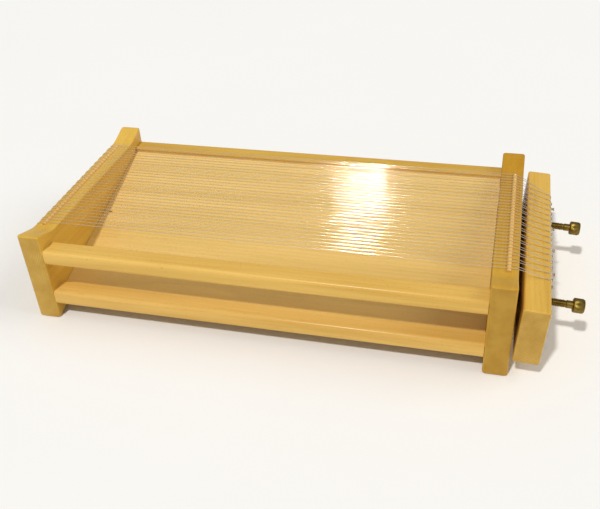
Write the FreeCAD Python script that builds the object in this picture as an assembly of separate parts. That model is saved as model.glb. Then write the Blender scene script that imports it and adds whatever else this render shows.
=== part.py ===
import FreeCAD
import Part
import math
import os

os.makedirs("parts", exist_ok=True)

# Double-sided wire cutter for fresh dough. Millimetres. X runs from the nailed end board to
# the tension block, Y from front to back, Z up. The origin is at the base, under the middle.

# Driving dimensions
frame_length = 435.0          # outer face to outer face of the two end boards
frame_depth = 225.0
frame_height = 90.0
board_thickness = 21.0
horn_rise = 7.0               # the horns stand this far past the middle of the board
horn_land = 4.0
horn_gap = 6.5                # the flat between the horns runs on this far past the rods
horn_tip_blend = 4.0
horn_foot_blend = 30.0
rail_depth = 18.0
rail_height = 15.0
rail_setback = 1.2
rail_outer_rounding = 4.0
rail_inner_rounding = 1.5
lower_rail_base = 15.0        # the upper rails stand as far from the top
slide_thickness = 4.0
slide_groove_depth = 4.0
slide_edge_rise = 0.64        # the slide enters its two rails this far off their middles
rod_diameter = 4.0
rod_inset = 8.0
rod_past_wires = 2.5
rod_end_rounding = 0.4
wire_diameter = 0.5
top_pitch = 5.0
top_pairs = 16
bottom_pitch = 3.0
bottom_pairs = 26
nail_diameter = 1.8
nail_head_diameter = 2.8
nail_head_thickness = 0.7
nail_head_rounding = 0.3
nail_point_length = 2.0
nail_point_radius = 0.2
nail_stand = 2.2
tie_stand = 4.2
tie_every = 4                 # one nail in so many on the block's top row stands taller
nail_buried = 9.0
nail_row_drop = 19.0          # nail row below the middle of the board's edge
fan_ratio = 0.88              # the wires draw together a little towards the block
block_thickness = 21.4
block_height = 55.0
block_gap = 3.7
block_drop = 1.4              # the block hangs a little below the boards' middle
block_lean = 3.5              # degrees, outwards at the top; the screws lean with it
block_nail_drop = 8.0
block_rounding = 2.0
screw_spacing = 120.0
screw_diameter = 6.8
screw_tip_chamfer = 1.2
head_diameter = 12.6
head_length = 9.5
head_rounding = 0.8
socket_radius = 2.9
socket_depth = 5.0
screw_showing = 57.0          # screw end past the outer face of the end board
insert_diameter = 11.0
insert_flange_diameter = 15.0
insert_flange = 1.2
insert_inset = 1.5
plate_diameter = 16.0
plate_thickness = 1.5
dowel_diameter = 8.0
dowel_in_board = 14.0
dowel_in_rail = 16.0
round_edge = 3.0
soft_edge = 1.0

# Clearances
wire_clearance = 0.06
glue_clearance = 0.05
thread_clearance = 0.05
seat_clearance = 0.02
slide_top_clearance = 0.2
slide_end_clearance = 0.3
slide_edge_clearance = 0.05
dowel_end_clearance = 1.0
overrun = 2.0                 # cutters run this far past what they cut
route_spare = 12.0            # a wire's route is worked out this far past its nail

# Derived places
whole_length = nail_stand + frame_length + screw_showing
left_face = nail_stand - whole_length / 2
left_inner = left_face + board_thickness
right_face = left_face + frame_length
right_inner = right_face - board_thickness
middle_z = frame_height / 2
flat_top = frame_height - horn_rise
flat_bottom = horn_rise
screw_end = right_face + screw_showing
rail_y = frame_depth / 2 - rail_setback - rail_depth / 2
rail_inner_y = rail_y - rail_depth / 2
lower_rail_z = lower_rail_base + rail_height / 2
upper_rail_z = frame_height - lower_rail_z
slide_slope = (upper_rail_z - lower_rail_z + 2 * slide_edge_rise) / (2 * rail_inner_y)
slide_angle = math.atan(slide_slope)
slide_depth = 2 * (rail_inner_y + slide_groove_depth) / math.cos(slide_angle)
top_width = (2 * top_pairs - 1) * top_pitch
bottom_width = (2 * bottom_pairs - 1) * bottom_pitch
rod_length = max(top_width, bottom_width) + 2 * rod_past_wires
horn_foot_y = rod_length / 2 + horn_gap
block_middle_x = right_face + block_gap + block_thickness / 2
block_middle_z = middle_z - block_drop
lean_angle = math.radians(block_lean)
wire_radius = wire_diameter / 2
rod_radius = rod_diameter / 2
nail_radius = nail_diameter / 2

x_axis = FreeCAD.Vector(1, 0, 0)
y_axis = FreeCAD.Vector(0, 1, 0)
z_axis = FreeCAD.Vector(0, 0, 1)


def point(x, y, z):
    return FreeCAD.Vector(x, y, z)


def save(name, shape):
    if not shape.isValid():
        raise RuntimeError(name + " is not a valid shape")
    shape.exportStep("parts/" + name + ".step")
    print(name, "solids", len(shape.Solids), "volume", round(shape.Volume, 1))


def box(x0, x1, y0, y1, z0, z1):
    return Part.makeBox(x1 - x0, y1 - y0, z1 - z0, point(x0, y0, z0))


def cylinder(radius, length, start, direction):
    return Part.makeCylinder(radius, length, start, direction)


def edges_where(shape, test):
    return [edge for edge in shape.Edges if test(edge)]


def runs_along(edge, axis):
    ends = edge.Vertexes
    if len(ends) != 2 or edge.Curve.TypeId != "Part::GeomLine":
        return False
    way = ends[1].Point.sub(ends[0].Point)
    return abs(way.dot(axis)) > 0.999 * way.Length


def flip_over(shape):
    # the same thing on the underside
    turned = shape.copy()
    turned.rotate(point(0, 0, middle_z), x_axis, 180)
    return turned


# End board outline: each corner is given once for a quarter, then mirrored twice, and the
# whole is straight runs and arcs.
def rounded_path(corners):
    # corners are (y, z, radius); a radius above 0 is an arc tangent to both sides
    edges = []
    count = len(corners)
    starts = []
    ends = []
    for i in range(count):
        here = point(0, corners[i][0], corners[i][1])
        before = point(0, corners[i - 1][0], corners[i - 1][1])
        after = point(0, corners[(i + 1) % count][0], corners[(i + 1) % count][1])
        back = before.sub(here).normalize()
        forth = after.sub(here).normalize()
        half = back.getAngle(forth) / 2
        if corners[i][2] == 0:
            starts.append(here)
            ends.append(here)
            continue
        reach = corners[i][2] / math.tan(half)
        a = here + back * reach
        b = here + forth * reach
        bisector = (back + forth).normalize()
        middle = here + bisector * (corners[i][2] / math.sin(half) - corners[i][2])
        edges.append(Part.Arc(a, middle, b).toShape())
        starts.append(a)
        ends.append(b)
    for i in range(count):
        edges.append(Part.makeLine(ends[i], starts[(i + 1) % count]))
    return Part.Wire(Part.__sortEdges__(edges))


def end_board_blank(x0):
    half = frame_depth / 2
    horn_run = half - horn_land - horn_foot_y
    horn_slope = math.hypot(horn_run, horn_rise)
    half_turn = math.atan(horn_rise / horn_run) / 2
    foot_blend = min(horn_foot_blend, 0.9 * horn_slope / math.tan(half_turn) - horn_tip_blend)
    quarter = [
        (half, frame_height, 0.0),
        (half - horn_land, frame_height, horn_tip_blend),
        (horn_foot_y, flat_top, foot_blend),
    ]
    top_back = quarter
    top_front = [(-y, z, r) for y, z, r in reversed(quarter)]
    bottom_front = [(-y, frame_height - z, r) for y, z, r in quarter]
    bottom_back = [(y, frame_height - z, r) for y, z, r in reversed(quarter)]
    outline = rounded_path(top_back + top_front + bottom_front + bottom_back)
    profile = Part.Face(outline).extrude(point(board_thickness, 0, 0))
    footprint = box(0, board_thickness, -half, half, -overrun, frame_height + overrun)
    upright = edges_where(footprint, lambda e: runs_along(e, z_axis))
    footprint = footprint.makeFillet(round_edge, upright)
    board = profile.common(footprint)

    def on_rim(edge):
        # the whole loop round the top, and the one round the bottom
        span = edge.BoundBox
        if runs_along(edge, z_axis):
            return False
        side = span.XLength < 1e-4 and min(span.XMin, board_thickness - span.XMin) < 1e-3
        level = span.ZLength < 1e-4 and min(span.ZMin, frame_height - span.ZMin) < 1e-3
        end = level and half - max(abs(span.YMin), abs(span.YMax)) < 1e-3
        return side or end

    board = board.makeFillet(soft_edge, edges_where(board, on_rim))
    board.translate(point(x0, 0, 0))
    return board


def rod_at(x, under):
    start = point(x, -rod_length / 2, flat_top)
    rod = cylinder(rod_radius, rod_length, start, y_axis)
    ends = edges_where(rod, lambda e: e.Curve.TypeId == "Part::GeomCircle")
    rod = rod.makeFillet(rod_end_rounding, ends)
    return flip_over(rod) if under else rod


def rod_seat(x, under):
    room = glue_clearance
    start = point(x, -rod_length / 2 - room, flat_top)
    seat = cylinder(rod_radius + room, rod_length + 2 * room, start, y_axis)
    return flip_over(seat) if under else seat


rail_places = {
    "front_upper": (-rail_y, upper_rail_z),
    "front_lower": (-rail_y, lower_rail_z),
    "back_upper": (rail_y, upper_rail_z),
    "back_lower": (rail_y, lower_rail_z),
}


def dowel_holes(extra):
    holes = []
    for y, z in rail_places.values():
        length = dowel_in_board + dowel_in_rail + 2 * extra
        for x in (left_inner - dowel_in_board - extra, right_inner - dowel_in_rail - extra):
            radius = dowel_diameter / 2 + (glue_clearance if extra else 0)
            holes.append(cylinder(radius, length, point(x, y, z), x_axis))
    return holes


def slide_board(depth, thickness, lift, end_gap):
    # a flat board across the frame, level along X and sloping down to the front
    length = right_inner - left_inner - 2 * end_gap
    board = Part.makeBox(length, depth, thickness, point(-length / 2, -depth / 2, 0))
    board.translate(point((left_inner + right_inner) / 2, 0, -slide_thickness / 2 + lift))
    board.rotate(point(0, 0, 0), x_axis, math.degrees(slide_angle))
    board.translate(point(0, 0, middle_z))
    return board


def rail(name):
    y, z = rail_places[name]
    side = 1 if y > 0 else -1
    bar = box(left_inner, right_inner, y - rail_depth / 2, y + rail_depth / 2,
              z - rail_height / 2, z + rail_height / 2)
    outer = edges_where(bar, lambda e: runs_along(e, x_axis) and (e.Vertexes[0].Y - y) * side > 0)
    inner = edges_where(bar, lambda e: runs_along(e, x_axis) and (e.Vertexes[0].Y - y) * side < 0)
    bar = bar.makeFillet(rail_outer_rounding, outer)
    inner = [e for e in edges_where(bar, lambda e: runs_along(e, x_axis))
             if abs(e.Vertexes[0].Y - (y - side * rail_depth / 2)) < 0.01]
    bar = bar.makeFillet(rail_inner_rounding, inner)
    if name in ("front_lower", "back_upper"):
        bar = bar.cut(slide_board(slide_depth, slide_thickness, 0, -overrun))
        bar = bar.cut(slide_board(slide_depth, slide_thickness, slide_top_clearance, -overrun))
    for hole in dowel_holes(dowel_end_clearance):
        bar = bar.cut(hole)
    return bar


# Nails. Every nail is along X. direction +1 points out of the right-hand faces.
def nail(x_face, y, z, stand, direction):
    way = x_axis * direction
    start = point(x_face - direction * nail_buried, y, z)
    shank = cylinder(nail_radius, nail_buried + stand - nail_head_thickness / 2, start, way)
    tip_start = start - way * nail_point_length
    tip = Part.makeCone(nail_point_radius, nail_radius, nail_point_length, tip_start, way)
    head_start = point(x_face + direction * (stand - nail_head_thickness), y, z)
    head = cylinder(nail_head_diameter / 2, nail_head_thickness, head_start, way)
    outer = edges_where(head, lambda e: e.Curve.TypeId == "Part::GeomCircle"
                        and abs(e.Curve.Center.x - (x_face + direction * stand)) < 0.01)
    head = head.makeFillet(nail_head_rounding, outer)
    return shank.fuse(head).fuse(tip).removeSplitter()


def nail_hole(x_face, y, z, direction):
    room = glue_clearance
    way = x_axis * direction
    start = point(x_face - direction * nail_buried, y, z)
    body = cylinder(nail_radius + room, nail_buried + overrun, start, way)
    length = nail_point_length + room
    tip = Part.makeCone(nail_point_radius + room, nail_radius + room, length, start - way * length, way)
    return body.fuse(tip)


def pair_centre(index, pairs, pitch):
    return (index - (pairs - 1) / 2) * 2 * pitch


def block_nail_rows(pairs, pitch):
    return [fan_ratio * pair_centre(i, pairs, pitch) for i in range(pairs)]


def board_nail_rows(pairs, pitch):
    inner = [pair_centre(i, pairs, pitch) + pitch for i in range(pairs - 1)]
    edge = pair_centre(pairs - 1, pairs, pitch) + pitch
    return [-edge] + inner + [edge]


# The tension block, its nails, inserts and screws are worked out upright, then leaned as one.
block_base = block_middle_z - block_height / 2
block_top = block_middle_z + block_height / 2
block_outer = block_middle_x + block_thickness / 2
block_inner = block_middle_x - block_thickness / 2
lean_centre = point(block_middle_x, 0, block_middle_z)
tip_z = block_middle_z + (block_middle_x - right_face) * math.tan(lean_angle)


def lean(shape):
    moved = shape.copy()
    moved.rotate(lean_centre, y_axis, block_lean)
    return moved


def lean_xz(x, z, side):
    # side is -1 for the underside, which is worked out turned over
    angle = lean_angle * side
    centre_z = middle_z - side * block_drop
    dx = x - block_middle_x
    dz = z - centre_z
    return (block_middle_x + dx * math.cos(angle) + dz * math.sin(angle),
            centre_z - dx * math.sin(angle) + dz * math.cos(angle))


def block_nails(pairs, pitch, under, tall):
    z = block_base + block_nail_drop if under else block_top - block_nail_drop
    found = []
    for index, y in enumerate(block_nail_rows(pairs, pitch)):
        if (index % tie_every == tie_every // 2 and not under) == tall:
            found.append(lean(nail(block_outer, y, z, tie_stand if tall else nail_stand, 1)))
    return found


def board_nails(pairs, pitch, under):
    z = flat_bottom + nail_row_drop if under else flat_top - nail_row_drop
    return [nail(left_face, y, z, nail_stand, -1) for y in board_nail_rows(pairs, pitch)]


def end_board(left):
    x0 = left_face if left else right_inner
    rod_x = left_face + rod_inset if left else right_face - rod_inset
    board = end_board_blank(x0)
    cutters = [rod_seat(rod_x, False), rod_seat(rod_x, True)]
    cutters += [h for h in dowel_holes(dowel_end_clearance)
                if (h.BoundBox.Center.x < 0) == left]
    if left:
        for pairs, pitch, z in ((top_pairs, top_pitch, flat_top - nail_row_drop),
                                (bottom_pairs, bottom_pitch, flat_bottom + nail_row_drop)):
            cutters += [nail_hole(left_face, y, z, -1) for y in board_nail_rows(pairs, pitch)]
    else:
        for y in (-screw_spacing / 2, screw_spacing / 2):
            start = point(right_face - plate_thickness, y, tip_z)
            cutters.append(cylinder(plate_diameter / 2 + glue_clearance, plate_thickness + overrun,
                                    start, x_axis))
    return board.cut(cutters)


def block():
    body = box(block_inner, block_outer, -frame_depth / 2, frame_depth / 2, block_base, block_top)
    body = body.makeFillet(block_rounding, body.Edges)
    cutters = []
    for pairs, pitch, under in ((top_pairs, top_pitch, False), (bottom_pairs, bottom_pitch, True)):
        z = block_base + block_nail_drop if under else block_top - block_nail_drop
        for y in block_nail_rows(pairs, pitch):
            cutters.append(nail_hole(block_outer, y, z, 1))
    for y in (-screw_spacing / 2, screw_spacing / 2):
        through = point(block_inner - overrun, y, block_middle_z)
        cutters.append(cylinder(insert_diameter / 2 + glue_clearance, block_thickness + 2 * overrun,
                                through, x_axis))
        recess = point(block_outer - insert_flange, y, block_middle_z)
        cutters.append(cylinder(insert_flange_diameter / 2 + glue_clearance,
                                insert_flange + overrun, recess, x_axis))
    return lean(body.cut(cutters))


def threaded_insert(y):
    start = point(block_inner + insert_inset, y, block_middle_z)
    length = block_thickness - insert_inset
    tube = cylinder(insert_diameter / 2, length, start, x_axis)
    flange_start = point(block_outer - insert_flange + seat_clearance, y, block_middle_z)
    flange = cylinder(insert_flange_diameter / 2, insert_flange - seat_clearance,
                      flange_start, x_axis)
    whole = tube.fuse(flange).removeSplitter()
    bore = cylinder(screw_diameter / 2 + thread_clearance, block_thickness + 2 * overrun,
                    point(block_inner - overrun, y, block_middle_z), x_axis)
    return lean(whole.cut(bore))


def thrust_plate(y):
    start = point(right_face - plate_thickness, y, tip_z)
    return cylinder(plate_diameter / 2, plate_thickness - seat_clearance, start, x_axis)


# The screw's two ends, measured along its own leaned line.
tip_flat = screw_diameter / 2 - screw_tip_chamfer
tip_reach = (block_middle_x - right_face - seat_clearance) / math.cos(lean_angle)
screw_tip = block_middle_x - tip_reach + tip_flat * math.tan(lean_angle)
head_corner = (head_diameter / 2 - head_rounding) * math.sin(lean_angle) + head_rounding
head_reach = (screw_end - block_middle_x - head_corner) / math.cos(lean_angle) + head_rounding
screw_outer = block_middle_x + head_reach


def tension_screw(y):
    shank_end = screw_outer - head_length
    shank = cylinder(screw_diameter / 2, shank_end - screw_tip, point(screw_tip, y, block_middle_z),
                     x_axis)
    tip_edge = edges_where(shank, lambda e: e.Curve.TypeId == "Part::GeomCircle"
                           and abs(e.Curve.Center.x - screw_tip) < 0.01)
    shank = shank.makeChamfer(screw_tip_chamfer, tip_edge)
    head = cylinder(head_diameter / 2, head_length, point(shank_end, y, block_middle_z), x_axis)
    rims = edges_where(head, lambda e: e.Curve.TypeId == "Part::GeomCircle")
    head = head.makeFillet(head_rounding, rims)
    corners = []
    for i in range(7):
        turn = math.radians(60 * i)
        corners.append(point(screw_outer - socket_depth, y + socket_radius * math.cos(turn),
                             block_middle_z + socket_radius * math.sin(turn)))
    hexagon = Part.Face(Part.makePolygon(corners))
    socket = hexagon.extrude(point(socket_depth + overrun, 0, 0))
    return lean(shank.fuse(head).cut(socket))


# Wires. In the XZ plane a wire is a taut line over round edges; across Y it runs straight on
# that unrolled strip, then round the underside of its nail. Built for the top, then flipped.
def taut_line(rounds, start, finish):
    # rounds are (x, z, radius), all touched from above, going from small x to large x.
    # start and finish are points. Gives (x, z) points with short chords round each bend.
    chain = [(start[0], start[1], 0.0)] + rounds + [(finish[0], finish[1], 0.0)]
    normals = []
    for a, b in zip(chain, chain[1:]):
        dx = b[0] - a[0]
        dz = b[1] - a[1]
        gap = math.hypot(dx, dz)
        tilt = math.asin((b[2] - a[2]) / gap)
        normals.append(math.atan2(dz, dx) + math.pi / 2 + tilt)
    points = [start]
    for i, (x, z, radius) in enumerate(rounds):
        first = normals[i]
        last = normals[i + 1]
        steps = max(1, math.ceil(abs(first - last) / math.radians(14)))
        for k in range(steps + 1):
            turn = first + (last - first) * k / steps
            points.append((x + radius * math.cos(turn), z + radius * math.sin(turn)))
    points.append(finish)
    return points


off_surface = wire_radius + wire_clearance
board_corner = soft_edge


def right_route(side):
    top = middle_z - side * block_drop + block_height / 2
    rod = (right_face - rod_inset, flat_top, rod_radius + off_surface)
    corner = (right_face - board_corner, flat_top - board_corner, board_corner + off_surface)
    inset = block_rounding
    edge_x, edge_z = lean_xz(block_outer - inset, top - inset, side)
    edge = (edge_x, edge_z, inset + off_surface)
    finish = lean_xz(block_outer + off_surface, top - block_nail_drop - route_spare, side)
    start = (0.0, flat_top + rod_radius + off_surface)
    slope_past = (edge[1] + edge[2] - rod[1] - rod[2]) / (edge[0] - rod[0])
    height_at_corner = rod[1] + rod[2] + slope_past * (corner[0] - rod[0])
    rounds = [rod, edge]
    if height_at_corner < corner[1] + corner[2] + 0.2:
        rounds = [rod, corner, edge]
    return taut_line(rounds, start, finish)


def left_route(nail_z):
    # worked out mirrored, so x still grows along the route
    rod = (-left_face - rod_inset, flat_top, rod_radius + off_surface)
    corner = (-left_face - board_corner, flat_top - board_corner, board_corner + off_surface)
    start = (0.0, flat_top + rod_radius + off_surface)
    finish = (-left_face + off_surface, nail_z - route_spare)
    return [(-x, z) for x, z in taut_line([rod, corner], start, finish)]


def lengths_along(route):
    total = 0.0
    found = [0.0]
    for a, b in zip(route, route[1:]):
        total += math.hypot(b[0] - a[0], b[1] - a[1])
        found.append(total)
    return found


def place_on(route, marks, s, y):
    for i in range(len(marks) - 1):
        if s <= marks[i + 1] or i == len(marks) - 2:
            part = (s - marks[i]) / (marks[i + 1] - marks[i])
            x = route[i][0] + (route[i + 1][0] - route[i][0]) * part
            z = route[i][1] + (route[i + 1][1] - route[i][1]) * part
            return point(x, y, z)


def half_loop(route, nail_s, nail_y, wire_ys, wire_from):
    # leads from the rod to the nail and back, one wire each side; wire_ys are ordered low, high
    marks = lengths_along(route)
    radius = nail_radius + off_surface
    lead = nail_s - wire_from
    angles = []
    for y, side in ((wire_ys[0], -1), (wire_ys[1], 1)):
        offset = nail_y - y
        reach = math.hypot(lead, offset)
        base = math.atan2(offset, lead)
        angles.append(base - side * math.asin(radius / reach))
    low_turn = angles[0]
    high_turn = angles[1]
    first = math.pi + low_turn
    last = 2 * math.pi + high_turn
    steps = 10
    loop = []
    for k in range(steps + 1):
        turn = first + (last - first) * k / steps
        loop.append((nail_s - radius * math.sin(turn), nail_y + radius * math.cos(turn)))
    down = []
    up = []
    for s in marks:
        if s >= wire_from - 1e-6:
            down.append((s, wire_ys[0] + (s - wire_from) * math.tan(low_turn)))
            up.append((s, wire_ys[1] + (s - wire_from) * math.tan(high_turn)))
    down = [(s, y) for s, y in down if s < loop[0][0] - 0.2]
    up = [(s, y) for s, y in up if s < loop[-1][0] - 0.2]
    flat = down + loop + list(reversed(up))
    return [place_on(route, marks, s, y) for s, y in flat]


def sweep(points):
    spine = Part.makePolygon(points)
    way = points[1].sub(points[0]).normalize()
    ring = Part.Wire([Part.makeCircle(wire_radius, points[0], way)])
    pipe = Part.BRepOffsetAPI.MakePipeShell(spine)
    pipe.setTransitionMode(1)
    pipe.add(ring)
    pipe.build()
    pipe.makeSolid()
    return pipe.shape()


def lacing(pairs, pitch, side):
    # one wire from an end nail, out and back through every pair, to the other end nail
    board_nail_z = flat_top - nail_row_drop
    right = right_route(side)
    left = left_route(board_nail_z)
    right_marks = lengths_along(right)
    left_marks = lengths_along(left)
    right_s = right_marks[-1] - route_spare
    left_s = left_marks[-1] - route_spare
    # the wires are parallel as far as the top of the right-hand rod
    right_from = right_marks[1]
    left_from = left_marks[1]
    rights = block_nail_rows(pairs, pitch)
    lefts = board_nail_rows(pairs, pitch)
    count = 2 * pairs
    ys = [(i - (count - 1) / 2) * pitch for i in range(count)]
    points = []
    for pair in range(pairs):
        first = ys[2 * pair]
        second = ys[2 * pair + 1]
        if pair == 0:
            ends = (first - 2 * nail_radius - 2 * off_surface, first)
            end_loop = half_loop(left, left_s, lefts[0], ends, left_from)
            points += end_loop[len(end_loop) // 2 - 1:]
        turn = half_loop(right, right_s, rights[pair], (first, second), right_from)
        points += turn
        if pair < pairs - 1:
            points += half_loop(left, left_s, lefts[pair + 1], (second, ys[2 * pair + 2]),
                                left_from)
        else:
            ends = (second, second + 2 * nail_radius + 2 * off_surface)
            end_loop = half_loop(left, left_s, lefts[-1], ends, left_from)
            points += end_loop[:len(end_loop) // 2 + 2]
    kept = [points[0]]
    for p in points[1:]:
        if p.sub(kept[-1]).Length > 0.05:
            kept.append(p)
    return kept


def main():
    save("left_end_board", end_board(True))
    save("right_end_board", end_board(False))
    for name in rail_places:
        save(name + "_rail", rail(name))
    fitted_depth = slide_depth - 2 * slide_edge_clearance
    save("slide_board", slide_board(fitted_depth, slide_thickness, 0, slide_end_clearance))
    dowels = dowel_holes(0)
    save("left_rail_dowels", Part.makeCompound([d for d in dowels if d.BoundBox.Center.x < 0]))
    save("right_rail_dowels", Part.makeCompound([d for d in dowels if d.BoundBox.Center.x > 0]))
    left_rod = left_face + rod_inset
    right_rod = right_face - rod_inset
    save("left_top_rod", rod_at(left_rod, False))
    save("left_bottom_rod", rod_at(left_rod, True))
    save("right_top_rod", rod_at(right_rod, False))
    save("right_bottom_rod", rod_at(right_rod, True))
    save("board_top_nails", Part.makeCompound(board_nails(top_pairs, top_pitch, False)))
    save("board_bottom_nails", Part.makeCompound(board_nails(bottom_pairs, bottom_pitch, True)))
    save("tension_block", block())
    save("block_top_nails", Part.makeCompound(block_nails(top_pairs, top_pitch, False, False)))
    save("block_tie_nails", Part.makeCompound(block_nails(top_pairs, top_pitch, False, True)))
    save("block_bottom_nails",
         Part.makeCompound(block_nails(bottom_pairs, bottom_pitch, True, False)))
    for name, y in (("front", -screw_spacing / 2), ("rear", screw_spacing / 2)):
        save(name + "_threaded_insert", threaded_insert(y))
        save(name + "_thrust_plate", thrust_plate(y))
        save(name + "_tension_screw", tension_screw(y))
    save("top_wires", sweep(lacing(top_pairs, top_pitch, 1)))
    save("bottom_wires", flip_over(sweep(lacing(bottom_pairs, bottom_pitch, -1))))


main()
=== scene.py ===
import bpy
import math
import numpy as np
from mathutils import Matrix, Vector


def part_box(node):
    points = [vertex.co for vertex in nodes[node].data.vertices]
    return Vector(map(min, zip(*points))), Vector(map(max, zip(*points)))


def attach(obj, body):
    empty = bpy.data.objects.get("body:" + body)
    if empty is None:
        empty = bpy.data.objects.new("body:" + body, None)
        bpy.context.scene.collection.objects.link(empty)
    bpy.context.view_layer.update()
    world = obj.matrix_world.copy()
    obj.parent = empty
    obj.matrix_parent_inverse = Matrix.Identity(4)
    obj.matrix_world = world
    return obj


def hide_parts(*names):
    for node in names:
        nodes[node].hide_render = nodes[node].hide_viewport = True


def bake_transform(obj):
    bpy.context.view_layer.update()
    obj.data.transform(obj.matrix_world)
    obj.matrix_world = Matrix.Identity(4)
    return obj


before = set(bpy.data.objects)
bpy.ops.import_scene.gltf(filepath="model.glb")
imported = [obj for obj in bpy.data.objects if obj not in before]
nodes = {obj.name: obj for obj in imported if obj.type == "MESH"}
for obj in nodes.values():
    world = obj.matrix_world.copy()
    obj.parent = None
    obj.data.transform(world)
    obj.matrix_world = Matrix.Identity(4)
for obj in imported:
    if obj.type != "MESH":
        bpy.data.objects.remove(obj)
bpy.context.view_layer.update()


def corner(name):
    low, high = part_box(name)
    return np.array(low), np.array(high)


leftLow, leftHigh = corner("left_end_board")
rightHigh = corner("right_end_board")[1]
blockLow, blockHigh = corner("tension_block")
leftFace = leftLow[0]
rightFace = rightHigh[0]
middleZ = leftHigh[2] / 2
print("frame loaded")


def addNode(tree, kind, links=None, values=None, **settings):
    made = tree.nodes.new(kind)
    for key, value in settings.items():
        setattr(made, key, value)
    for key, value in (values or {}).items():
        made.inputs[key].default_value = value
    for key, source in (links or {}).items():
        tree.links.new(source, made.inputs[key])
    return made


def calc(tree, operation, first, second=None, third=None):
    made = tree.nodes.new("ShaderNodeMath")
    made.operation = operation
    for index, item in enumerate((first, second, third)):
        if item is None:
            continue
        if isinstance(item, (int, float)):
            made.inputs[index].default_value = item
        else:
            tree.links.new(item, made.inputs[index])
    return made.outputs[0]


def spread(tree, value, low, high, toLow=0.0, toHigh=1.0):
    made = tree.nodes.new("ShaderNodeMapRange")
    made.interpolation_type = "SMOOTHSTEP"
    tree.links.new(value, made.inputs["Value"])
    made.inputs["From Min"].default_value = low
    made.inputs["From Max"].default_value = high
    made.inputs["To Min"].default_value = toLow
    made.inputs["To Max"].default_value = toHigh
    return made.outputs["Result"]


def mixColour(tree, factor, first, second, blend="MIX"):
    made = tree.nodes.new("ShaderNodeMix")
    made.data_type = "RGBA"
    made.blend_type = blend
    for socket, item in ((made.inputs[0], factor), (made.inputs[6], first), (made.inputs[7], second)):
        if isinstance(item, (int, float)):
            socket.default_value = item
        elif isinstance(item, tuple):
            socket.default_value = (*item, 1.0)
        else:
            tree.links.new(item, socket)
    return made.outputs[2]


def noise(tree, place, scale, detail=3.0, rough=0.55, distortion=0.0):
    made = addNode(tree, "ShaderNodeTexNoise", {"Vector": place},
                   {"Scale": scale, "Detail": detail, "Roughness": rough, "Distortion": distortion})
    return made.outputs["Fac"]


def stretched(tree, place, x, y, z):
    return addNode(tree, "ShaderNodeMapping", {"Vector": place}, {"Scale": (x, y, z)}).outputs[0]


# Wood figure: growth rings about a pith line, fine fibres and the short flecks of beech.
# Its first axis runs along the grain, in metres.
def makeFigureGroup():
    group = bpy.data.node_groups.new("woodFigure", "ShaderNodeTree")
    face = group.interface
    face.new_socket("Place", in_out="INPUT", socket_type="NodeSocketVector")
    face.new_socket("Pith", in_out="INPUT", socket_type="NodeSocketVector")
    face.new_socket("Ring Width", in_out="INPUT", socket_type="NodeSocketFloat")
    face.new_socket("Seed", in_out="INPUT", socket_type="NodeSocketFloat")
    for name in ("Rings", "Fibres", "Flecks", "Cloud"):
        face.new_socket(name, in_out="OUTPUT", socket_type="NodeSocketFloat")
    source = group.nodes.new("NodeGroupInput")
    sink = group.nodes.new("NodeGroupOutput")
    shift = addNode(group, "ShaderNodeCombineXYZ", {"X": source.outputs["Seed"],
                                                    "Y": source.outputs["Seed"],
                                                    "Z": source.outputs["Seed"]}).outputs[0]
    moved = addNode(group, "ShaderNodeVectorMath", {0: source.outputs["Place"], 1: shift},
                    operation="ADD").outputs[0]
    bend = noise(group, stretched(group, moved, 2.5, 14.0, 14.0), 1.0, 2.0)
    tremble = noise(group, stretched(group, moved, 16.0, 130.0, 130.0), 1.0, 2.0)
    away = addNode(group, "ShaderNodeVectorMath", {0: source.outputs["Place"],
                                                   1: source.outputs["Pith"]},
                   operation="SUBTRACT").outputs[0]
    flat = addNode(group, "ShaderNodeVectorMath", {0: away}, {1: (0.0, 1.0, 1.0)},
                   operation="MULTIPLY").outputs[0]
    distance = addNode(group, "ShaderNodeVectorMath", {0: flat}, operation="LENGTH").outputs["Value"]
    distance = calc(group, "ADD", distance, calc(group, "MULTIPLY", bend, 0.02))
    distance = calc(group, "ADD", distance, calc(group, "MULTIPLY", tremble, 0.0007))
    phase = calc(group, "FRACT", calc(group, "DIVIDE", distance, source.outputs["Ring Width"]))
    late = calc(group, "POWER", phase, 3.0)
    drop = spread(group, phase, 0.93, 1.0, 1.0, 0.0)
    rings = calc(group, "MULTIPLY", late, drop)
    fibres = noise(group, stretched(group, moved, 9.0, 900.0, 900.0), 1.0, 4.0, 0.6)
    speck = noise(group, stretched(group, moved, 330.0, 2300.0, 2300.0), 1.0, 1.0)
    flecks = spread(group, speck, 0.66, 0.74)
    cloud = noise(group, stretched(group, moved, 4.0, 60.0, 60.0), 1.0, 4.0, 0.6)
    for name, value in (("Rings", rings), ("Fibres", fibres), ("Flecks", flecks), ("Cloud", cloud)):
        group.links.new(value, sink.inputs[name])
    return group


figureGroup = makeFigureGroup()


# Handling marks: soft smudges for the gloss and fine random scuffs.
def makeHandlingGroup():
    group = bpy.data.node_groups.new("handling", "ShaderNodeTree")
    face = group.interface
    face.new_socket("Place", in_out="INPUT", socket_type="NodeSocketVector")
    face.new_socket("Smudge", in_out="OUTPUT", socket_type="NodeSocketFloat")
    face.new_socket("Scuff", in_out="OUTPUT", socket_type="NodeSocketFloat")
    source = group.nodes.new("NodeGroupInput")
    sink = group.nodes.new("NodeGroupOutput")
    smudge = noise(group, source.outputs["Place"], 38.0, 4.0, 0.6, 0.4)
    fine = noise(group, stretched(group, source.outputs["Place"], 160.0, 420.0, 420.0), 1.0, 2.0)
    group.links.new(smudge, sink.inputs["Smudge"])
    group.links.new(spread(group, fine, 0.62, 0.75), sink.inputs["Scuff"])
    return group


handlingGroup = makeHandlingGroup()


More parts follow.
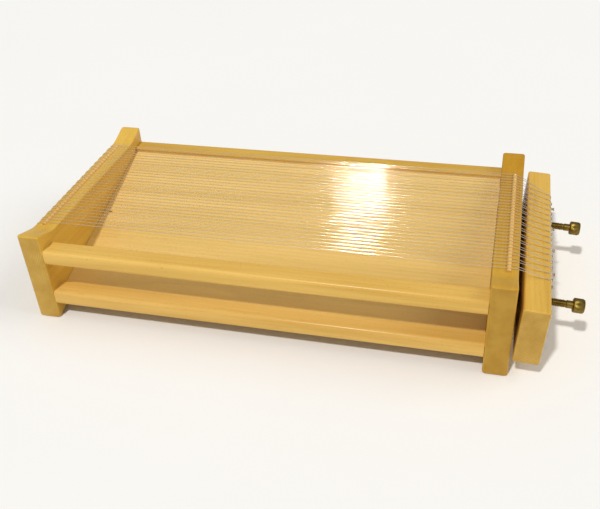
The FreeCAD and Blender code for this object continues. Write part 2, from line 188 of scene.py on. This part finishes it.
def startMaterial(name):
    material = bpy.data.materials.new(name)
    material.use_nodes = True
    tree = material.node_tree
    tree.nodes.clear()
    shader = tree.nodes.new("ShaderNodeBsdfPrincipled")
    output = tree.nodes.new("ShaderNodeOutputMaterial")
    tree.links.new(shader.outputs[0], output.inputs[0])
    return material, tree, shader


beech = {"light": (0.79, 0.50, 0.115), "body": (0.66, 0.385, 0.068), "dark": (0.42, 0.21, 0.025),
         "fleck": (0.36, 0.165, 0.022), "ring": 0.0032, "endGrain": (0.80, 0.79, 0.84), "endRings": 0.32}
grainAxes = {"x": ("X", "Y", "Z"), "y": ("Y", "X", "Z"), "z": ("Z", "X", "Y")}


def makeWood(name, grain, pith, seed, tint=(1.0, 1.0, 1.0), ringWidth=None, ringDepth=0.5,
             gloss=0.36, coat=0.12, drift=None):
    material, tree, shader = startMaterial(name)
    place = tree.nodes.new("ShaderNodeTexCoord").outputs["Object"]
    parts = addNode(tree, "ShaderNodeSeparateXYZ", {0: place})
    order = grainAxes[grain]
    turned = addNode(tree, "ShaderNodeCombineXYZ", {"X": parts.outputs[order[0]],
                                                    "Y": parts.outputs[order[1]],
                                                    "Z": parts.outputs[order[2]]}).outputs[0]
    figure = addNode(tree, "ShaderNodeGroup", node_tree=figureGroup)
    tree.links.new(turned, figure.inputs["Place"])
    figure.inputs["Pith"].default_value = (0.0, pith[0], pith[1])
    figure.inputs["Ring Width"].default_value = ringWidth or beech["ring"]
    figure.inputs["Seed"].default_value = seed
    handling = addNode(tree, "ShaderNodeGroup", {"Place": turned}, node_tree=handlingGroup)
    colour = mixColour(tree, spread(tree, figure.outputs["Cloud"], 0.3, 0.7), beech["light"],
                       beech["body"])
    normal = tree.nodes.new("ShaderNodeTexCoord").outputs["Normal"]
    facing = addNode(tree, "ShaderNodeSeparateXYZ", {0: normal}).outputs[order[0]]
    cut = spread(tree, calc(tree, "ABSOLUTE", facing), 0.55, 0.95)
    depth = calc(tree, "MULTIPLY_ADD", cut, beech["endRings"] - ringDepth, ringDepth)
    colour = mixColour(tree, calc(tree, "MULTIPLY", figure.outputs["Rings"], depth), colour,
                       beech["dark"])
    colour = mixColour(tree, spread(tree, figure.outputs["Fibres"], 0.5, 0.85, 0.0, 0.4), colour,
                       beech["dark"])
    colour = mixColour(tree, calc(tree, "MULTIPLY", figure.outputs["Flecks"], 0.55), colour,
                       beech["fleck"])
    colour = mixColour(tree, cut, colour, mixColour(tree, 1.0, colour, beech["endGrain"], "MULTIPLY"))
    colour = mixColour(tree, 1.0, colour, tint, "MULTIPLY")
    if drift:
        colour = mixColour(tree, spread(tree, parts.outputs["Y"], drift[0], drift[1]), colour,
                           mixColour(tree, 1.0, colour, drift[2], "MULTIPLY"))
    tree.links.new(colour, shader.inputs["Base Color"])
    rough = calc(tree, "ADD", gloss, calc(tree, "MULTIPLY", handling.outputs["Smudge"], 0.14))
    rough = calc(tree, "ADD", rough, calc(tree, "MULTIPLY", figure.outputs["Fibres"], 0.06))
    tree.links.new(rough, shader.inputs["Roughness"])
    height = calc(tree, "SUBTRACT", calc(tree, "MULTIPLY", figure.outputs["Fibres"], 0.6),
                  calc(tree, "MULTIPLY", figure.outputs["Flecks"], 0.7))
    height = calc(tree, "SUBTRACT", height, calc(tree, "MULTIPLY", handling.outputs["Scuff"], 0.25))
    bump = addNode(tree, "ShaderNodeBump", {"Height": height}, {"Strength": 0.35, "Distance": 0.00006})
    tree.links.new(bump.outputs[0], shader.inputs["Normal"])
    shader.inputs["Specular IOR Level"].default_value = 0.22
    shader.inputs["Coat Weight"].default_value = coat
    shader.inputs["Coat Roughness"].default_value = 0.16
    shader.inputs["Coat IOR"].default_value = 1.48
    return material, tree, shader, colour


def makeMetal(name, base, dark, rough, scratchAlong="x", grime=0.4, roughSpan=0.14, relief=0.25,
              metallic=1.0):
    material, tree, shader = startMaterial(name)
    place = tree.nodes.new("ShaderNodeTexCoord").outputs["Object"]
    scale = {"x": (60.0, 2200.0, 2200.0), "y": (2200.0, 60.0, 2200.0), "none": (900.0,) * 3}
    drawn = noise(tree, stretched(tree, place, *scale[scratchAlong]), 1.0, 3.0)
    patch = noise(tree, place, 240.0, 4.0, 0.65)
    colour = mixColour(tree, spread(tree, patch, 0.35, 0.75, 0.0, grime), base, dark)
    colour = mixColour(tree, spread(tree, drawn, 0.45, 0.8, 0.0, 0.25), colour, dark)
    tree.links.new(colour, shader.inputs["Base Color"])
    value = calc(tree, "ADD", rough, calc(tree, "MULTIPLY", patch, roughSpan))
    tree.links.new(value, shader.inputs["Roughness"])
    bump = addNode(tree, "ShaderNodeBump", {"Height": drawn}, {"Strength": relief, "Distance": 0.00003})
    tree.links.new(bump.outputs[0], shader.inputs["Normal"])
    shader.inputs["Metallic"].default_value = metallic
    return material


def dress(name, material):
    data = nodes[name].data
    data.materials.clear()
    data.materials.append(material)


woods = {
    "left_end_board": ("y", (-0.33, 0.13), 1.3, (0.97, 0.97, 0.74), 0.0021, 0.14),
    "right_end_board": ("y", (0.09, 0.15), 4.1, (0.83, 0.77, 0.40), 0.0017, 0.14),
    "front_upper_rail": ("x", (-0.06, 0.05), 7.7, (1.02, 1.03, 1.1), 0.0030, 0.12),
    "front_lower_rail": ("x", (-0.20, 0.12), 9.2, (1.0, 1.0, 1.15), 0.0030, 0.12),
    "back_upper_rail": ("x", (0.03, 0.14), 12.5, (0.88, 0.86, 0.64), 0.0030, 0.12),
    "back_lower_rail": ("x", (0.05, -0.05), 15.4, (0.98, 0.98, 0.95), 0.0030, 0.12),
    "tension_block": ("y", (0.29, -0.06), 18.9, (0.94, 0.93, 0.78), 0.0019, 0.14),
}
drifts = {"right_end_board": (-0.06, 0.09, (0.84, 0.76, 0.45))}
for name, (grain, pith, seed, tint, ring, depth) in woods.items():
    dress(name, makeWood(name + "Wood", grain, pith, seed, tint, ring, depth,
                         drift=drifts.get(name))[0])
for index, name in enumerate(("left_top_rod", "right_top_rod", "left_bottom_rod", "right_bottom_rod",
                              "left_rail_dowels", "right_rail_dowels")):
    dress(name, makeWood(name + "Wood", "x" if "dowels" in name else "y", (0.05, 0.03), 21.0 + index,
                         (1.12, 1.12, 1.5), 0.002, 0.25, 0.42, 0.1)[0])


# The slide board is pale plywood: wide sliced figure, a small knot and long fine lines.
def makeBoardMaterial():
    material, tree, shader = startMaterial("slideBoardPly")
    place = tree.nodes.new("ShaderNodeTexCoord").outputs["Object"]
    figure = addNode(tree, "ShaderNodeGroup", {"Place": place}, node_tree=figureGroup)
    figure.inputs["Pith"].default_value = (0.0, 0.03, -0.19)
    figure.inputs["Ring Width"].default_value = 0.0042
    figure.inputs["Seed"].default_value = 31.7
    handling = addNode(tree, "ShaderNodeGroup", {"Place": place}, node_tree=handlingGroup)
    colour = mixColour(tree, spread(tree, figure.outputs["Cloud"], 0.3, 0.7), (0.84, 0.57, 0.19),
                       (0.76, 0.51, 0.155))
    colour = mixColour(tree, calc(tree, "MULTIPLY", figure.outputs["Rings"], 0.16), colour,
                       (0.50, 0.28, 0.07))
    colour = mixColour(tree, spread(tree, figure.outputs["Fibres"], 0.48, 0.85, 0.0, 0.35), colour,
                       (0.52, 0.30, 0.10))
    colour = mixColour(tree, calc(tree, "MULTIPLY", figure.outputs["Flecks"], 0.5), colour,
                       (0.48, 0.27, 0.09))
    knot = addNode(tree, "ShaderNodeVectorMath", {0: place}, {1: (-0.2163, 0.0033, 0.0479)},
                   operation="SUBTRACT").outputs[0]
    knot = stretched(tree, knot, 0.55, 1.0, 0.2)
    distance = addNode(tree, "ShaderNodeVectorMath", {0: knot}, operation="LENGTH").outputs["Value"]
    mark = spread(tree, distance, 0.0006, 0.0017, 0.92, 0.0)
    colour = mixColour(tree, mark, colour, (0.10, 0.045, 0.015))
    tree.links.new(colour, shader.inputs["Base Color"])
    rough = calc(tree, "ADD", 0.36, calc(tree, "MULTIPLY", handling.outputs["Smudge"], 0.16))
    tree.links.new(rough, shader.inputs["Roughness"])
    height = calc(tree, "SUBTRACT", calc(tree, "MULTIPLY", figure.outputs["Fibres"], 0.6),
                  calc(tree, "MULTIPLY", figure.outputs["Flecks"], 0.6))
    bump = addNode(tree, "ShaderNodeBump", {"Height": height}, {"Strength": 0.3, "Distance": 0.00006})
    tree.links.new(bump.outputs[0], shader.inputs["Normal"])
    shader.inputs["Specular IOR Level"].default_value = 0.22
    shader.inputs["Coat Weight"].default_value = 0.15
    shader.inputs["Coat Roughness"].default_value = 0.22
    return material


dress("slide_board", makeBoardMaterial())
steel = makeMetal("nailSteel", (0.42, 0.35, 0.27), (0.16, 0.10, 0.06), 0.32, "x", 0.7)
for name in ("board_top_nails", "board_bottom_nails", "block_top_nails", "block_tie_nails",
             "block_bottom_nails", "front_thrust_plate", "rear_thrust_plate"):
    dress(name, steel)
brass = makeMetal("insertBrass", (0.55, 0.37, 0.115), (0.26, 0.15, 0.045), 0.26, "none", 0.6)
for name in ("front_threaded_insert", "rear_threaded_insert"):
    dress(name, brass)
print("materials done")


def makePiece(name, points, faces, material, smooth=True):
    data = bpy.data.meshes.new(name)
    data.from_pydata(points.tolist(), [], faces.tolist() if hasattr(faces, "tolist") else faces)
    data.materials.append(material)
    data.polygons.foreach_set("use_smooth", np.full(len(data.polygons), smooth))
    data.update()
    piece = bpy.data.objects.new(name, data)
    bpy.context.scene.collection.objects.link(piece)
    return piece


# A grid of rows closed round its second axis; each row is a ring, and the two ends get a pole.
# The faces count their points from offset, so that several grids can share one mesh.
def closedRings(rings, poles, offset=0):
    count, sides = rings.shape[:2]
    index = offset + np.arange(count * sides).reshape(count, sides)
    after = np.roll(index, -1, axis=1)
    quads = np.stack([index[:-1], after[:-1], after[1:], index[1:]], -1).reshape(-1, 4)
    start = offset + count * sides
    first = np.stack([np.full(sides, start), after[0], index[0]], -1)
    last = np.stack([np.full(sides, start + 1), index[-1], after[-1]], -1)
    points = np.concatenate([rings.reshape(-1, 3), np.asarray(poles)])
    return points, quads.tolist() + first.tolist() + last.tolist()


# A round tube along a path. out is a vector across the path at each point, so nothing twists.
def tubeRings(path, out, radius, sides):
    along = np.gradient(path, axis=0)
    along /= np.linalg.norm(along, axis=1)[:, None]
    side = np.cross(along, out)
    side /= np.linalg.norm(side, axis=1)[:, None]
    up = np.cross(side, along)
    turn = np.arange(sides) * 2 * math.pi / sides
    return (path[:, None] + radius * (np.cos(turn)[None, :, None] * side[:, None]
                                      + np.sin(turn)[None, :, None] * up[:, None]))


wire = {"radius": 0.00025, "gap": 0.00006, "rodRadius": 0.002, "rodInset": 0.008, "rim": 0.001,
        "blockRim": 0.002, "lean": math.radians(3.5), "nailRadius": 0.0009, "fan": 0.88,
        "boardDrop": 0.019, "blockDrop": 0.008, "pastNail": 0.012, "blockThick": 0.0214, "blockHigh": 0.055,
        "top": (16, 0.005), "under": (26, 0.003), "sides": 8}
flatTop = (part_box("left_top_rod")[0].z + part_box("left_top_rod")[1].z) / 2
wire["away"] = wire["radius"] + wire["gap"]
blockMiddle = (blockLow[0] + blockHigh[0]) / 2
blockHang = middleZ - (blockLow[2] + blockHigh[2]) / 2


# The taut line over a chain of round edges: straight between tangent points, an arc at each.
# Gives x, z, and the outward direction at each point, with the distance along as the first column.
def tautRoute(rounds, start, finish):
    chain = [(*start, 0.0)] + rounds + [(*finish, 0.0)]
    turns = []
    for a, b in zip(chain, chain[1:]):
        gap = math.hypot(b[0] - a[0], b[1] - a[1])
        tilt = math.asin((b[2] - a[2]) / gap)
        turns.append(math.atan2(b[1] - a[1], b[0] - a[0]) + math.pi / 2 + tilt)
    rows = [(*start, math.cos(turns[0]), math.sin(turns[0]))]
    for (x, z, radius), first, last in zip(rounds, turns, turns[1:]):
        count = max(2, math.ceil(abs(first - last) / math.radians(5)))
        angle = np.linspace(first, last, count + 1)
        rows += [(x + radius * math.cos(t), z + radius * math.sin(t), math.cos(t), math.sin(t))
                 for t in angle]
    rows.append((*finish, math.cos(turns[-1]), math.sin(turns[-1])))
    rows = np.array(rows)
    steps = np.hypot(*np.diff(rows[:, :2], axis=0).T)
    return np.column_stack([np.concatenate([[0.0], np.cumsum(steps)]), rows])


def leaned(x, z, side):
    angle = wire["lean"] * side
    centreZ = middleZ - side * blockHang
    dx, dz = x - blockMiddle, z - centreZ
    return (blockMiddle + dx * math.cos(angle) + dz * math.sin(angle),
            centreZ - dx * math.sin(angle) + dz * math.cos(angle))


def rightRoute(side):
    away = wire["away"]
    rod = (rightFace - wire["rodInset"], flatTop, wire["rodRadius"] + away)
    rim = (rightFace - wire["rim"], flatTop - wire["rim"], wire["rim"] + away)
    outer = blockMiddle + wire["blockThick"] / 2
    top = middleZ - side * blockHang + wire["blockHigh"] / 2
    edge = (*leaned(outer - wire["blockRim"], top - wire["blockRim"], side), wire["blockRim"] + away)
    finish = leaned(outer + away, top - wire["blockDrop"] - wire["pastNail"], side)
    past = (edge[1] + edge[2] - rod[1] - rod[2]) / (edge[0] - rod[0])
    touches = rod[1] + rod[2] + past * (rim[0] - rod[0]) < rim[1] + rim[2] + 0.0002
    rounds = [rod, rim, edge] if touches else [rod, edge]
    return tautRoute(rounds, (0.0, flatTop + wire["rodRadius"] + away), finish)


def leftRoute():
    away = wire["away"]
    rod = (-leftFace - wire["rodInset"], flatTop, wire["rodRadius"] + away)
    rim = (-leftFace - wire["rim"], flatTop - wire["rim"], wire["rim"] + away)
    finish = (-leftFace + away, flatTop - wire["boardDrop"] - wire["pastNail"])
    route = tautRoute([rod, rim], (0.0, flatTop + wire["rodRadius"] + away), finish)
    route[:, 1] *= -1
    route[:, 3] *= -1
    return route


# One pair: down one wire, half round the nail and back up the other, on the unrolled strip.
# It starts just short of the rod, so that the long spans between the rods are truly straight.
def pairRun(route, nailY, lowY, highY):
    radius = wire["nailRadius"] + wire["away"]
    begin = route[1, 0]
    nailS = route[-1, 0] - wire["pastNail"]
    lead = nailS - begin
    angles = []
    for y, side in ((lowY, -1), (highY, 1)):
        offset = nailY - y
        angles.append(math.atan2(offset, lead) - side * math.asin(radius / math.hypot(lead, offset)))
    turn = np.linspace(math.pi + angles[0], 2 * math.pi + angles[1], 19)
    loopS = nailS - radius * np.sin(turn)
    loopY = nailY + radius * np.cos(turn)
    marks = route[1:-1, 0]
    marks = np.concatenate([[begin - 0.001], marks])
    down = marks[marks < loopS[0] - 0.0004]
    back = marks[marks < loopS[-1] - 0.0004][::-1]
    s = np.concatenate([down, loopS, back])
    y = np.concatenate([lowY + np.maximum(down - begin, 0) * math.tan(angles[0]), loopY,
                        highY + np.maximum(back - begin, 0) * math.tan(angles[1])])
    x, z, outX, outZ = (np.interp(s, route[:, 0], route[:, i]) for i in (1, 2, 3, 4))
    return np.column_stack([x, y, z]), np.column_stack([outX, np.zeros_like(x), outZ])


def makeLacing(name, pairs, pitch, side, material):
    right, left = rightRoute(side), leftRoute()
    ys = (np.arange(2 * pairs) - (2 * pairs - 1) / 2) * pitch
    centres = (ys[0::2] + ys[1::2]) / 2
    width = 2 * (wire["nailRadius"] + wire["away"])
    ends = [centres[0] - pitch, centres[-1] + pitch]
    first = pairRun(left, ends[0], ys[0] - width, ys[0])
    half = len(first[0]) // 2 - 4
    runs = [(first[0][half:], first[1][half:])]
    for pair in range(pairs):
        runs.append(pairRun(right, wire["fan"] * centres[pair], ys[2 * pair], ys[2 * pair + 1]))
        if pair < pairs - 1:
            runs.append(pairRun(left, centres[pair] + pitch, ys[2 * pair + 1], ys[2 * pair + 2]))
    last = pairRun(left, ends[1], ys[-1], ys[-1] + width)
    runs.append((last[0][:-half], last[1][:-half]))
    path = np.concatenate([run[0] for run in runs])
    out = np.concatenate([run[1] for run in runs])
    if side < 0:
        path = path * (1, -1, -1) + (0, 0, 2 * middleZ)
        out = out * (1, -1, -1)
    rings = tubeRings(path, out, wire["radius"], wire["sides"])
    points, faces = closedRings(rings, [path[0], path[-1]])
    return makePiece(name, points, faces, material)


# The wire is bright grey steel; the warm tint in these colours is painted reflection of the golden wood and
# the warm light around it.
wireSteelPaintedReflection = makeMetal("wireSteelPaintedReflection", (0.88, 0.82, 0.70), (0.70, 0.64, 0.54), 0.06, "x", 0.2, 0.05, 0.0,
                      0.8)
topLacing = makeLacing("topLacing", *wire["top"], 1, wireSteelPaintedReflection)
underLacing = makeLacing("underLacing", *wire["under"], -1, wireSteelPaintedReflection)
for piece, node, z in ((topLacing, "top_wires", flatTop), (underLacing, "bottom_wires", 0.007)):
    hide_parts(node)
    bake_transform(piece)

# The free wire ends are wound round the tall nails: a short helix about each nail's line, then
# a tail that leaves along the last turn and bends away from the block as a parabola.
coil = {"turns": 3.25, "step": 0.00054, "start": 0.00092, "tail": 0.0036, "bend": 0.45,
        "ringsPerTurn": 16, "tailRings": 6, "every": 4}


def makeTieCoils(name, material):
    pairs, pitch = wire["top"]
    radius = wire["nailRadius"] + wire["away"]
    outer = blockMiddle + wire["blockThick"] / 2
    nailZ = middleZ - blockHang + wire["blockHigh"] / 2 - wire["blockDrop"]
    part = np.linspace(0, 1, math.ceil(coil["turns"] * coil["ringsPerTurn"]) + 1)
    spent = np.linspace(0, 1, coil["tailRings"] + 1)[1:] * coil["tail"]
    points, faces, used = [], [], 0
    for index in range(coil["every"] // 2, pairs, coil["every"]):
        nailY = wire["fan"] * (index - (pairs - 1) / 2) * 2 * pitch
        turn = 2 * math.pi * coil["turns"] * part + 0.9 * index
        turnOut = np.stack([0 * turn, np.cos(turn), np.sin(turn)], -1)
        along = outer + coil["start"] + coil["step"] * coil["turns"] * part
        helix = np.stack([along, nailY + 0 * turn, nailZ + 0 * turn], -1) + radius * turnOut
        leave = np.array([0, -math.sin(turn[-1]), math.cos(turn[-1])])
        tail = helix[-1] + spent[:, None] * leave
        tail[:, 0] += coil["bend"] * spent ** 2 / coil["tail"]
        path = np.concatenate([helix, tail])
        out = np.concatenate([turnOut, np.repeat(turnOut[-1:], len(tail), 0)])
        path[:, 0], path[:, 2] = leaned(path[:, 0], path[:, 2], 1)
        rings = tubeRings(path, out, wire["radius"], wire["sides"])
        newPoints, newFaces = closedRings(rings, [path[0], path[-1]], used)
        points.append(newPoints)
        faces += newFaces
        used += len(newPoints)
    return makePiece(name, np.concatenate(points), faces, material)


tieCoils = makeTieCoils("tieCoils", wireSteelPaintedReflection)
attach(tieCoils, "tension_block")
print("wires done")


screw = {"minor": 0.0029, "depth": 0.0005, "pitch": 0.00125, "headWide": 0.0126, "headLong": 0.0095,
         "socket": 0.0029, "socketDeep": 0.005, "sides": 192, "knurls": 48,
         "knurlDeep": 0.00016, "neckLong": 0.006, "neckRadius": 0.0034}


# Rings along the screw: tip, helical thread, plain neck, knurled head and its hexagon socket.
# The thread's radius depends on the distance along less the turn, over the pitch. The screw is
# worked out level, then leaned about the block's middle, as the block is.
def makeScrew(name, node, material):
    low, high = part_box(node)
    lean, rounding = wire["lean"], 0.0008
    rim = (screw["headWide"] / 2 - rounding) * math.sin(lean) + rounding
    tip = blockMiddle - (blockMiddle - rightFace - 0.00002) / math.cos(lean) + 0.00014
    end = blockMiddle + (high.x - blockMiddle - rim) / math.cos(lean) + rounding
    centreY, centreZ = (low.y + high.y) / 2, middleZ - blockHang
    turn = np.arange(screw["sides"]) * 2 * math.pi / screw["sides"]
    headStart = end - screw["headLong"]
    neckStart = headStart - screw["neckLong"]
    rows = [(tip, np.full_like(turn, 0.0024)), (tip + 0.0002, np.full_like(turn, 0.0026))]
    threadX = np.arange(tip + 0.0008, neckStart, screw["pitch"] / 10)
    grow = np.clip((threadX - tip) / 0.002, 0, 1) * np.clip((neckStart - threadX) / 0.001, 0, 1)
    wave = (threadX[:, None] / screw["pitch"] - turn[None] / (2 * math.pi)) % 1.0
    ridge = np.clip(1.25 - np.abs(wave - 0.5) * 3.4, 0, 1)
    radii = screw["minor"] + screw["depth"] * ridge * grow[:, None]
    rows += [(x, r) for x, r in zip(threadX, radii)]
    neck = [(neckStart + 0.0004, screw["minor"]), (neckStart + 0.001, screw["neckRadius"]),
            (headStart - 0.0002, screw["neckRadius"])]
    rows += [(x, np.full_like(turn, r)) for x, r in neck]
    knurl = np.abs(((turn * screw["knurls"] / (2 * math.pi)) % 1.0) - 0.5) * 2
    outer = [(0.0, 0.0036, 0), (0.0001, 0.0053, 0), (0.00015, 0.0056, 0), (0.0006, 0.0060, 0),
             (0.0009, 0.0061, 1), (0.0045, 0.0061, 1), (0.0078, 0.0061, 1), (0.0081, 0.0061, 0),
             (0.0088, 0.0059, 0), (0.0093, 0.0055, 0), (0.0095, 0.0050, 0)]
    for x, r, cut in outer:
        rows.append((headStart + x, r + cut * screw["knurlDeep"] * knurl + 0 * turn))
    sector = (turn + math.pi / 6) % (math.pi / 3) - math.pi / 6
    hexagon = screw["socket"] * math.cos(math.pi / 6) / np.cos(sector)
    rows.append((end - 0.00002, np.full_like(turn, 0.0033)))
    rows.append((end - 0.0004, hexagon * 0.999))
    rows.append((end - 0.0005, hexagon * 0.99))
    rows.append((end - screw["socketDeep"] + 0.0003, hexagon * 0.985))
    rows.append((end - screw["socketDeep"], hexagon * 0.93))
    x = np.array([row[0] for row in rows])
    r = np.stack([row[1] for row in rows])
    rings = np.stack([x[:, None] + 0 * r, centreY + r * np.cos(turn), centreZ + r * np.sin(turn)], -1)
    points, faces = closedRings(rings, [(tip, centreY, centreZ),
                                        (end - screw["socketDeep"] - 0.001, centreY, centreZ)])
    dx, dz = points[:, 0] - blockMiddle, points[:, 2] - centreZ
    points = np.column_stack([blockMiddle + dx * math.cos(lean) + dz * math.sin(lean), points[:, 1],
                              centreZ - dx * math.sin(lean) + dz * math.cos(lean)])
    piece = makePiece(name, points, faces, material)
    piece.data.set_sharp_from_angle(angle=math.radians(38))
    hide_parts(node)
    return piece


zinc = makeMetal("yellowZinc", (0.29, 0.200, 0.045), (0.11, 0.072, 0.018), 0.30, "none", 0.75)
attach(makeScrew("frontScrew", "front_tension_screw", zinc), "front_screw")
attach(makeScrew("rearScrew", "rear_tension_screw", zinc), "rear_screw")
print("screws done")


def makeFloor():
    material, tree, shader = startMaterial("floorPaper")
    place = tree.nodes.new("ShaderNodeTexCoord").outputs["Object"]
    tone = noise(tree, place, 3.0, 3.0)
    colour = mixColour(tree, tone, (0.93, 0.93, 0.925), (0.90, 0.90, 0.895))
    tree.links.new(colour, shader.inputs["Base Color"])
    shader.inputs["Roughness"].default_value = 0.8
    corners = np.array([(-9, -9, 0), (9, -9, 0), (9, 9, 0), (-9, 9, 0)], float) - (0, 0, 0.0004)
    floor = makePiece("floor", corners, [(0, 1, 2, 3)], material, False)


makeFloor()


# One narrow key from the front and above, whose glint on the wires is a band across them, and
# an even pale sky.
light = {"keyFrom": (-0.16, -0.52, 0.84), "keyStrength": 1.85, "keyAngle": math.radians(3.6),
         "fillFrom": (0.78, 0.14, 0.60), "fillStrength": 1.0, "fillAngle": math.radians(40),
         "colour": (1.0, 0.985, 0.95), "skyColour": (1.0, 0.99, 0.97, 1.0), "skyStrength": 0.36}


def addSun(name, come, strength, angle, colour, glints):
    data = bpy.data.lights.new(name, "SUN")
    data.energy = strength
    data.angle = angle
    data.color = colour
    lamp = bpy.data.objects.new(name, data)
    lamp.rotation_euler = (-Vector(come)).to_track_quat("-Z", "Y").to_euler()
    lamp.visible_glossy = glints
    bpy.context.scene.collection.objects.link(lamp)


addSun("keyLight", light["keyFrom"], light["keyStrength"], light["keyAngle"], light["colour"], True)
addSun("sideFill", light["fillFrom"], light["fillStrength"], light["fillAngle"], light["colour"], False)
world = bpy.data.worlds.new("studio")
bpy.context.scene.world = world
world.use_nodes = True
background = world.node_tree.nodes["Background"]
background.inputs[0].default_value = light["skyColour"]
background.inputs[1].default_value = light["skyStrength"]

# The camera looks at its target along a heading and a height angle, with a small roll.
view = {"azimuth": 16.401, "elevation": 34.906, "roll": -3.6736, "distance": 0.77539,
        "target": (-0.01522, 0.0, 0.02095), "lens": 47.101}
azimuth, elevation = math.radians(view["azimuth"]), math.radians(view["elevation"])
toCamera = Vector((math.sin(azimuth) * math.cos(elevation), -math.cos(azimuth) * math.cos(elevation),
                   math.sin(elevation)))
across = (-toCamera).cross(Vector((0, 0, 1))).normalized()
upward = across.cross(-toCamera)
roll = math.radians(view["roll"])
cameraX = across * math.cos(roll) + upward * math.sin(roll)
cameraY = upward * math.cos(roll) - across * math.sin(roll)
cameraData = bpy.data.cameras.new("camera")
cameraData.lens = view["lens"]
cameraData.sensor_width = 36.0
cameraData.clip_start = 0.01
camera = bpy.data.objects.new("camera", cameraData)
matrix = Matrix((cameraX, cameraY, toCamera)).transposed().to_4x4()
matrix.translation = Vector(view["target"]) + toCamera * view["distance"]
camera.matrix_world = matrix
bpy.context.scene.collection.objects.link(camera)
bpy.context.scene.camera = camera
bpy.context.scene.view_settings.view_transform = "Standard"
